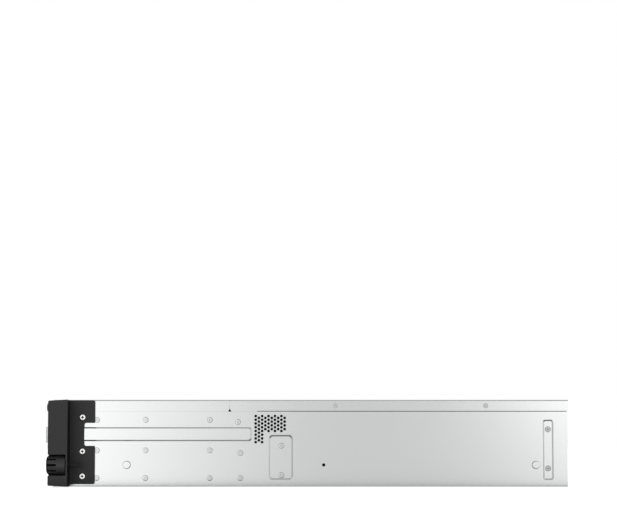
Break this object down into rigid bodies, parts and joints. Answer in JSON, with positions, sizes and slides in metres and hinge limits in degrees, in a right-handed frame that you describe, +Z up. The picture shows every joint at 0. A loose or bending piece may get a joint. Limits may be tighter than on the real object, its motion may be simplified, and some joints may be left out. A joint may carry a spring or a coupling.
{
  "type": "rack-mount storage server",
  "caption": "Rack-mount storage server in a shallow steel case, with black rack ears, latched front drive trays that slide out, inner fans and plug-in power supplies with pull handles.",
  "frame": {"origin": "on the underside, midway across the width, in the plane where the rack ears meet the rack posts", "axes": "+X to the right seen from the front, +Y from the front to the rear, +Z up"},
  "size_m": [0.4854, 0.5505, 0.088],
  "materials": {
    "galvanised": "satin",
    "stud_steel": "satin",
    "cage_steel": "satin",
    "ear_plastic": "satin",
    "bracket_paint": "satin",
    "knob_plastic": "satin",
    "button_plastic": "gloss",
    "plate_metal": "satin",
    "lamp_plastic": "gloss",
    "tray_metal": "satin",
    "lever_plastic": "satin",
    "board_green": "satin",
    "fan_plastic": "satin",
    "sink_metal": "satin",
    "module_plastic": "satin",
    "port_metal": "satin",
    "supply_case": "satin",
    "latch_plastic": "satin"
  },
  "bodies": {
    "chassis": {"chassis_tub": "galvanised", "front_cover": "galvanised", "rear_lid": "galvanised", "drive_cage": "cage_steel", "rail_studs": "stud_steel", "right_ear": "ear_plastic", "left_ear": "ear_plastic", "right_bracket": "bracket_paint", "left_bracket": "bracket_paint", "ear_plate": "plate_metal", "status_lamps": "lamp_plastic", "backplane": "board_green", "fan_wall": "cage_steel", "fan_frames": "fan_plastic", "main_board": "board_green", "heatsink": "sink_metal", "memory_modules": "module_plastic", "board_posts": "stud_steel", "rear_panel": "galvanised", "port_plate": "galvanised", "usb_ports": "port_metal", "network_ports": "port_metal", "fibre_ports": "port_metal", "slot_covers": "cage_steel", "supply_cage": "cage_steel", "power_board": "board_green"},
    "power_button": {"power_button": "button_plastic"},
    "right_thumbscrew": {"right_thumbscrew": "knob_plastic"},
    "left_thumbscrew": {"left_thumbscrew": "knob_plastic"},
    "impeller_1": {"impeller_1": "fan_plastic"},
    "impeller_2": {"impeller_2": "fan_plastic"},
    "impeller_3": {"impeller_3": "fan_plastic"},
    "supply_1": {"supply_1": "supply_case"},
    "supply_1_latch": {"supply_1_latch": "latch_plastic"},
    "supply_2": {"supply_2": "supply_case"},
    "supply_2_latch": {"supply_2_latch": "latch_plastic"},
    "tray_01": {"tray_01": "tray_metal"},
    "lever_01": {"lever_01": "lever_plastic"},
    "tray_02": {"tray_02": "tray_metal"},
    "lever_02": {"lever_02": "lever_plastic"},
    "tray_03": {"tray_03": "tray_metal"},
    "lever_03": {"lever_03": "lever_plastic"},
    "tray_04": {"tray_04": "tray_metal"},
    "lever_04": {"lever_04": "lever_plastic"},
    "tray_05": {"tray_05": "tray_metal"},
    "lever_05": {"lever_05": "lever_plastic"},
    "tray_06": {"tray_06": "tray_metal"},
    "lever_06": {"lever_06": "lever_plastic"},
    "tray_07": {"tray_07": "tray_metal"},
    "lever_07": {"lever_07": "lever_plastic"},
    "tray_08": {"tray_08": "tray_metal"},
    "lever_08": {"lever_08": "lever_plastic"},
    "tray_09": {"tray_09": "tray_metal"},
    "lever_09": {"lever_09": "lever_plastic"},
    "tray_10": {"tray_10": "tray_metal"},
    "lever_10": {"lever_10": "lever_plastic"},
    "tray_11": {"tray_11": "tray_metal"},
    "lever_11": {"lever_11": "lever_plastic"},
    "tray_12": {"tray_12": "tray_metal"},
    "lever_12": {"lever_12": "lever_plastic"}
  },
  "joints": [
    {"name": "tray_01_slide", "type": "slide", "parent": "chassis", "child": "tray_01", "axis": [0, -1, 0], "range_m": [0, 0.165]},
    {"name": "lever_01_swing", "type": "hinge", "parent": "tray_01", "child": "lever_01", "pos_m": [-0.2064, -0.0162, 0.0119], "axis": [0, 0, -1], "range_deg": [0, 70]},
    {"name": "tray_02_slide", "type": "slide", "parent": "chassis", "child": "tray_02", "axis": [0, -1, 0], "range_m": [0, 0.165]},
    {"name": "lever_02_swing", "type": "hinge", "parent": "tray_02", "child": "lever_02", "pos_m": [-0.2064, -0.0162, 0.04083], "axis": [0, 0, -1], "range_deg": [0, 70]},
    {"name": "tray_03_slide", "type": "slide", "parent": "chassis", "child": "tray_03", "axis": [0, -1, 0], "range_m": [0, 0.165]},
    {"name": "lever_03_swing", "type": "hinge", "parent": "tray_03", "child": "lever_03", "pos_m": [-0.2064, -0.0162, 0.06977], "axis": [0, 0, -1], "range_deg": [0, 70]},
    {"name": "tray_04_slide", "type": "slide", "parent": "chassis", "child": "tray_04", "axis": [0, -1, 0], "range_m": [0, 0.165]},
    {"name": "lever_04_swing", "type": "hinge", "parent": "tray_04", "child": "lever_04", "pos_m": [-0.0993, -0.0162, 0.0119], "axis": [0, 0, -1], "range_deg": [0, 70]},
    {"name": "tray_05_slide", "type": "slide", "parent": "chassis", "child": "tray_05", "axis": [0, -1, 0], "range_m": [0, 0.165]},
    {"name": "lever_05_swing", "type": "hinge", "parent": "tray_05", "child": "lever_05", "pos_m": [-0.0993, -0.0162, 0.04083], "axis": [0, 0, -1], "range_deg": [0, 70]},
    {"name": "tray_06_slide", "type": "slide", "parent": "chassis", "child": "tray_06", "axis": [0, -1, 0], "range_m": [0, 0.165]},
    {"name": "lever_06_swing", "type": "hinge", "parent": "tray_06", "child": "lever_06", "pos_m": [-0.0993, -0.0162, 0.06977], "axis": [0, 0, -1], "range_deg": [0, 70]},
    {"name": "tray_07_slide", "type": "slide", "parent": "chassis", "child": "tray_07", "axis": [0, -1, 0], "range_m": [0, 0.165]},
    {"name": "lever_07_swing", "type": "hinge", "parent": "tray_07", "child": "lever_07", "pos_m": [0.0078, -0.0162, 0.0119], "axis": [0, 0, -1], "range_deg": [0, 70]},
    {"name": "tray_08_slide", "type": "slide", "parent": "chassis", "child": "tray_08", "axis": [0, -1, 0], "range_m": [0, 0.165]},
    {"name": "lever_08_swing", "type": "hinge", "parent": "tray_08", "child": "lever_08", "pos_m": [0.0078, -0.0162, 0.04083], "axis": [0, 0, -1], "range_deg": [0, 70]},
    {"name": "tray_09_slide", "type": "slide", "parent": "chassis", "child": "tray_09", "axis": [0, -1, 0], "range_m": [0, 0.165]},
    {"name": "lever_09_swing", "type": "hinge", "parent": "tray_09", "child": "lever_09", "pos_m": [0.0078, -0.0162, 0.06977], "axis": [0, 0, -1], "range_deg": [0, 70]},
    {"name": "tray_10_slide", "type": "slide", "parent": "chassis", "child": "tray_10", "axis": [0, -1, 0], "range_m": [0, 0.165]},
    {"name": "lever_10_swing", "type": "hinge", "parent": "tray_10", "child": "lever_10", "pos_m": [0.1149, -0.0162, 0.0119], "axis": [0, 0, -1], "range_deg": [0, 70]},
    {"name": "tray_11_slide", "type": "slide", "parent": "chassis", "child": "tray_11", "axis": [0, -1, 0], "range_m": [0, 0.165]},
    {"name": "lever_11_swing", "type": "hinge", "parent": "tray_11", "child": "lever_11", "pos_m": [0.1149, -0.0162, 0.04083], "axis": [0, 0, -1], "range_deg": [0, 70]},
    {"name": "tray_12_slide", "type": "slide", "parent": "chassis", "child": "tray_12", "axis": [0, -1, 0], "range_m": [0, 0.165]},
    {"name": "lever_12_swing", "type": "hinge", "parent": "tray_12", "child": "lever_12", "pos_m": [0.1149, -0.0162, 0.06977], "axis": [0, 0, -1], "range_deg": [0, 70]},
    {"name": "right_thumbscrew_turn", "type": "hinge", "parent": "chassis", "child": "right_thumbscrew", "pos_m": [0.23255, 0, 0.0222], "axis": [0, 1, 0], "continuous": true},
    {"name": "left_thumbscrew_turn", "type": "hinge", "parent": "chassis", "child": "left_thumbscrew", "pos_m": [-0.23255, 0, 0.0222], "axis": [0, 1, 0], "continuous": true},
    {"name": "impeller_1_spin", "type": "hinge", "parent": "chassis", "child": "impeller_1", "pos_m": [-0.138, 0.2246, 0.042], "axis": [0, 1, 0], "continuous": true},
    {"name": "impeller_2_spin", "type": "hinge", "parent": "chassis", "child": "impeller_2", "pos_m": [0, 0.2246, 0.042], "axis": [0, 1, 0], "continuous": true},
    {"name": "impeller_3_spin", "type": "hinge", "parent": "chassis", "child": "impeller_3", "pos_m": [0.138, 0.2246, 0.042], "axis": [0, 1, 0], "continuous": true},
    {"name": "power_button_press", "type": "slide", "parent": "chassis", "child": "power_button", "axis": [0, 1, 0], "range_m": [0, 0.0012], "stiffness_N_per_m": 400},
    {"name": "supply_1_slide", "type": "slide", "parent": "chassis", "child": "supply_1", "axis": [0, 1, 0], "range_m": [0, 0.175]},
    {"name": "supply_1_latch_press", "type": "slide", "parent": "supply_1", "child": "supply_1_latch", "axis": [-1, 0, 0], "range_m": [0, 0.003], "stiffness_N_per_m": 500},
    {"name": "supply_2_slide", "type": "slide", "parent": "chassis", "child": "supply_2", "axis": [0, 1, 0], "range_m": [0, 0.175]},
    {"name": "supply_2_latch_press", "type": "slide", "parent": "supply_2", "child": "supply_2_latch", "axis": [-1, 0, 0], "range_m": [0, 0.003], "stiffness_N_per_m": 500}
  ]
}
